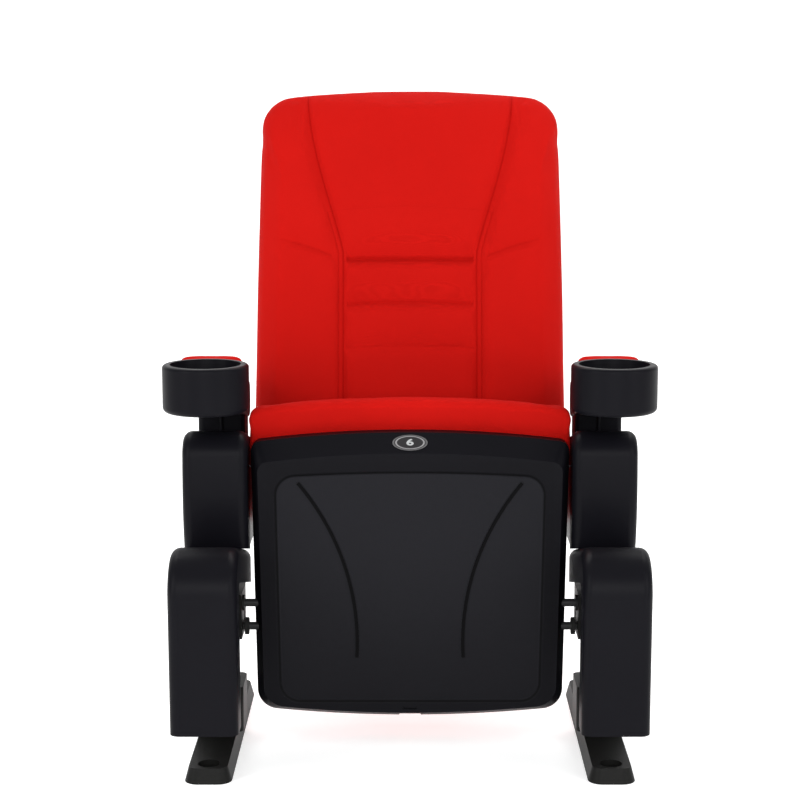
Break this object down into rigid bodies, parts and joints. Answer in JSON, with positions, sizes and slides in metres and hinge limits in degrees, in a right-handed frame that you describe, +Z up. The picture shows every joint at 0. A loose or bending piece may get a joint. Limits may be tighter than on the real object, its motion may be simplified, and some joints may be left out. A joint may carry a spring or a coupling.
{
  "type": "home theater chair",
  "caption": "Tip-up theater chair with a reclined padded back, a folding sprung seat, padded armrests with cup holders and S-shaped side standards on floor-bolted feet.",
  "frame": {"origin": "on the floor, midway between the two side standards and midway between the frontmost and rearmost points", "axes": "+Z is up, the sitter faces -Y, +X is the sitter's left, on the right of the picture"},
  "size_m": [0.703, 0.665, 0.9813],
  "materials": {
    "red_upholstery": "smooth, soft sheen",
    "black_plastic": "satin",
    "powder_coat": "satin powder coat",
    "steel": "zinc plated",
    "blackened_steel": "black oxide",
    "plywood": "raw",
    "rubber": "matte",
    "nylon": "moulded",
    "plate": "polished"
  },
  "bodies": {
    "frame": {"arm_bolts": "steel", "arm_pad_left": "red_upholstery", "arm_pad_right": "red_upholstery", "armrest_left": "black_plastic", "armrest_right": "black_plastic", "back_board": "plywood", "back_bolts": "steel", "back_bracket_left": "powder_coat", "back_bracket_right": "powder_coat", "back_cushion": "red_upholstery", "back_nuts": "steel", "back_rail_left": "powder_coat", "back_rail_right": "powder_coat", "back_shell": "black_plastic", "back_spacers": "steel", "bracket_bolts": "steel", "cup_holder_left": "black_plastic", "cup_holder_right": "black_plastic", "foot_left": "powder_coat", "foot_right": "powder_coat", "hinge_bracket_left": "powder_coat", "hinge_bracket_right": "powder_coat", "lower_cover_left": "black_plastic", "lower_cover_right": "black_plastic", "neck_left": "black_plastic", "neck_right": "black_plastic", "pivot_bush_left": "nylon", "pivot_bush_right": "nylon", "upper_cover_left": "black_plastic", "upper_cover_right": "black_plastic", "upright_left": "powder_coat", "upright_right": "powder_coat"},
    "seat": {"hinge_nuts": "blackened_steel", "hinge_plate_left": "powder_coat", "hinge_plate_right": "powder_coat", "hinge_screws": "steel", "number_plate": "plate", "pivot_pin_left": "blackened_steel", "pivot_pin_right": "blackened_steel", "return_spring_left": "steel", "return_spring_right": "steel", "seat_board": "plywood", "seat_cushion": "red_upholstery", "seat_pan": "black_plastic", "stop_pin_left": "blackened_steel", "stop_pin_right": "blackened_steel", "stop_washers": "rubber"}
  },
  "joints": [
    {"name": "seat_tip", "type": "hinge", "parent": "frame", "child": "seat", "pos_m": [0, -0.102, 0.218], "axis": [1, 0, 0], "range_deg": [0, 75], "stiffness_Nm_per_rad": 3, "springref_deg": -57.3}
  ]
}
